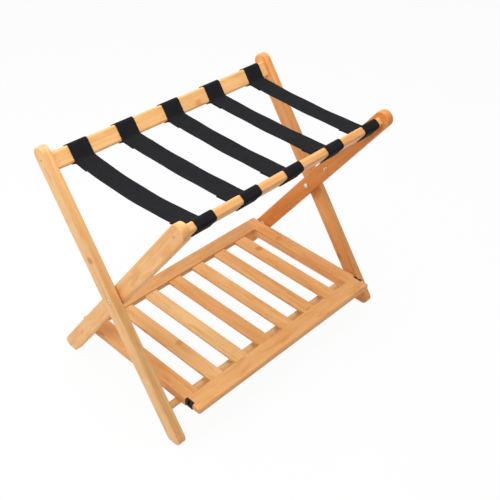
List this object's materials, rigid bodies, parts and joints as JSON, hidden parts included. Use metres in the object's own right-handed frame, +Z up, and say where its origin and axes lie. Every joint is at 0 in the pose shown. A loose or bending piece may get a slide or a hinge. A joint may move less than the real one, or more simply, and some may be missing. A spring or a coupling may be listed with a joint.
{
  "type": "folding luggage rack",
  "caption": "Folding luggage rack of crossed bamboo frames with black webbing straps across the top and a slatted shoe shelf that folds up against the inner legs.",
  "frame": {"origin": "middle of the floor rectangle under the whole rack, opened and with the shelf down", "axes": "+X along the rails to the right, -Y to the front where the shelf's front rail lies, +Z up"},
  "size_m": [0.6808, 0.444, 0.5715],
  "materials": {
    "bamboo": "satin lacquer",
    "webbing": "woven, matte",
    "steel": "zinc plated",
    "black_plastic": "fine texture",
    "nylon": "matte"
  },
  "bodies": {
    "outer_frame": {"outer_leg_left": "bamboo", "outer_leg_right": "bamboo", "back_top_rail": "bamboo", "crossbar": "bamboo", "outer_rail_screws": "steel", "outer_rail_dowels": "bamboo", "pivot_bolts": "steel", "leg_spacers": "nylon", "nut_washers": "steel", "cap_nuts": "steel", "strap_1": "webbing", "strap_2": "webbing", "strap_3": "webbing", "strap_4": "webbing", "strap_5": "webbing"},
    "inner_frame": {"inner_leg_left": "bamboo", "inner_leg_right": "bamboo", "front_top_rail": "bamboo", "inner_rail_screws": "steel", "inner_rail_dowels": "bamboo", "catch_studs": "steel"},
    "shelf": {"shelf_front_rail": "bamboo", "shelf_back_rail": "bamboo", "shelf_end_rail_left": "bamboo", "shelf_end_rail_right": "bamboo", "shelf_dowels": "bamboo", "shelf_slat_1": "bamboo", "shelf_slat_2": "bamboo", "shelf_slat_3": "bamboo", "shelf_slat_4": "bamboo", "shelf_slat_5": "bamboo", "shelf_slat_6": "bamboo", "shelf_pivot_screws": "steel", "shelf_pivot_spacers": "nylon", "shelf_catch_left": "black_plastic", "shelf_catch_right": "black_plastic"}
  },
  "joints": [
    {"name": "cross_fold", "type": "hinge", "parent": "outer_frame", "child": "inner_frame", "pos_m": [0, 0.00736, 0.282], "axis": [-1, 0, 0], "range_deg": [0, 65], "deforming": ["strap_1", "strap_2", "strap_3", "strap_4", "strap_5"]},
    {"name": "shelf_fold", "type": "hinge", "parent": "inner_frame", "child": "shelf", "pos_m": [0, 0.14729, 0.08825], "axis": [-1, 0, 0], "range_deg": [0, 54]}
  ]
}
